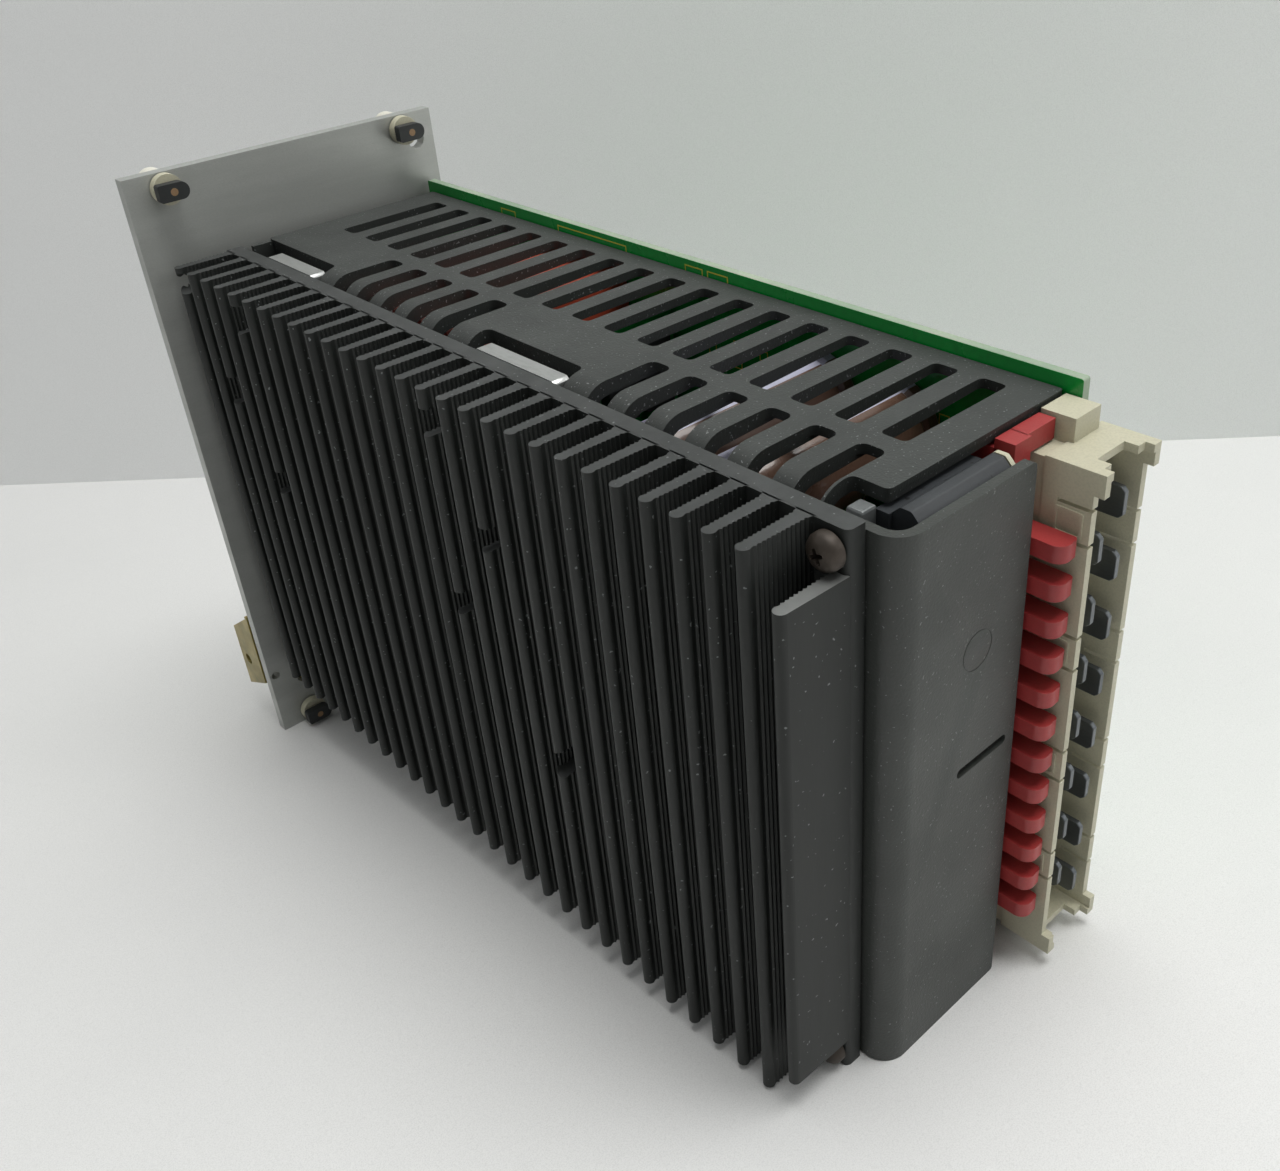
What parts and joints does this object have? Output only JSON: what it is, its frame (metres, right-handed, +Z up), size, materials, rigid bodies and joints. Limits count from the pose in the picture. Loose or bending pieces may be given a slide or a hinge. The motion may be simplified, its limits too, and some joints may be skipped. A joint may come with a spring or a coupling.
{
  "type": "servo drive",
  "caption": "Plug-in rack servo drive: flat front panel with quarter-turn fasteners, finned side heatsink, slotted vent grilles, coding comb and shrouded blade connector at the rear.",
  "frame": {"origin": "middle of the module's footprint, at the level of the front panel's lower edge", "axes": "+X towards the heatsink, +Y towards the rear connector, +Z up; the front panel faces -Y"},
  "size_m": [0.0658, 0.1862, 0.1284],
  "materials": {
    "panel_aluminium": "satin, lightly marked",
    "anodised_black": "black anodised extrusion, dusty",
    "grille_plastic": "fine grained, worn at the ribs",
    "shell_plastic": "fine grained",
    "insert_plastic": "moulded",
    "board_green": "solder resist over glass laminate",
    "connector_ivory": "glass-filled moulding",
    "collar_ivory": "moulded",
    "knob_ivory": "moulded",
    "cam_steel": "blackened steel",
    "blade_tin": "tinned, dulled",
    "comb_red": "moulded",
    "raw_aluminium": "mill finish",
    "screw_bronze": "dull, slightly tarnished",
    "rivet_steel": "dull",
    "post_steel": "nickel plated",
    "chromated_steel": "yellow chromated",
    "film_red": "dipped resin",
    "sleeve_brown": "shrink sleeve",
    "transistor_black": "moulded epoxy",
    "choke_black": "moulded",
    "flange_ivory": "moulded",
    "led_green": "tinted lens"
  },
  "bodies": {
    "module": {"front_panel": "panel_aluminium", "heatsink": "anodised_black", "top_grille": "grille_plastic", "bottom_grille": "grille_plastic", "rear_shell": "shell_plastic", "service_insert": "insert_plastic", "circuit_board": "board_green", "control_card": "board_green", "connector_body": "connector_ivory", "collar_top_sink": "collar_ivory", "collar_top_board": "collar_ivory", "collar_low_sink": "collar_ivory", "collar_low_board": "collar_ivory", "contact_blade_01": "blade_tin", "contact_blade_02": "blade_tin", "contact_blade_03": "blade_tin", "contact_blade_04": "blade_tin", "contact_blade_05": "blade_tin", "contact_blade_06": "blade_tin", "contact_blade_07": "blade_tin", "contact_blade_08": "blade_tin", "contact_blade_09": "blade_tin", "contact_blade_10": "blade_tin", "contact_blade_11": "blade_tin", "contact_blade_12": "blade_tin", "contact_blade_13": "blade_tin", "contact_blade_14": "blade_tin", "contact_blade_15": "blade_tin", "coding_comb": "comb_red", "spreader_front": "raw_aluminium", "spreader_rear": "raw_aluminium", "rear_bracket": "raw_aluminium", "heatsink_screw_1": "screw_bronze", "heatsink_screw_2": "screw_bronze", "connector_rivet_1": "rivet_steel", "connector_rivet_2": "rivet_steel", "jack_post_1": "post_steel", "jack_post_2": "post_steel", "service_shell": "chromated_steel", "shield_bracket": "chromated_steel", "film_capacitor": "film_red", "bus_capacitor_1": "sleeve_brown", "bus_capacitor_2": "sleeve_brown", "power_transistor_1": "transistor_black", "power_transistor_2": "transistor_black", "power_transistor_3": "transistor_black", "power_transistor_4": "transistor_black", "power_transistor_5": "transistor_black", "power_transistor_6": "transistor_black", "filter_choke": "choke_black", "choke_flange": "flange_ivory", "status_led": "led_green"},
    "fastener_top_sink": {"knob_top_sink": "knob_ivory", "cam_top_sink": "cam_steel"},
    "fastener_top_board": {"knob_top_board": "knob_ivory", "cam_top_board": "cam_steel"},
    "fastener_low_sink": {"knob_low_sink": "knob_ivory", "cam_low_sink": "cam_steel"},
    "fastener_low_board": {"knob_low_board": "knob_ivory", "cam_low_board": "cam_steel"}
  },
  "joints": [
    {"name": "turn_top_sink", "type": "hinge", "parent": "module", "child": "fastener_top_sink", "pos_m": [0.0254, -0.0791, 0.12545], "axis": [0, -1, 0], "range_deg": [0, 90]},
    {"name": "turn_top_board", "type": "hinge", "parent": "module", "child": "fastener_top_board", "pos_m": [-0.0254, -0.0791, 0.12545], "axis": [0, -1, 0], "range_deg": [0, 90]},
    {"name": "turn_low_sink", "type": "hinge", "parent": "module", "child": "fastener_low_sink", "pos_m": [0.0254, -0.0791, 0.00295], "axis": [0, 1, 0], "range_deg": [0, 90]},
    {"name": "turn_low_board", "type": "hinge", "parent": "module", "child": "fastener_low_board", "pos_m": [-0.0254, -0.0791, 0.00295], "axis": [0, 1, 0], "range_deg": [0, 90]}
  ]
}
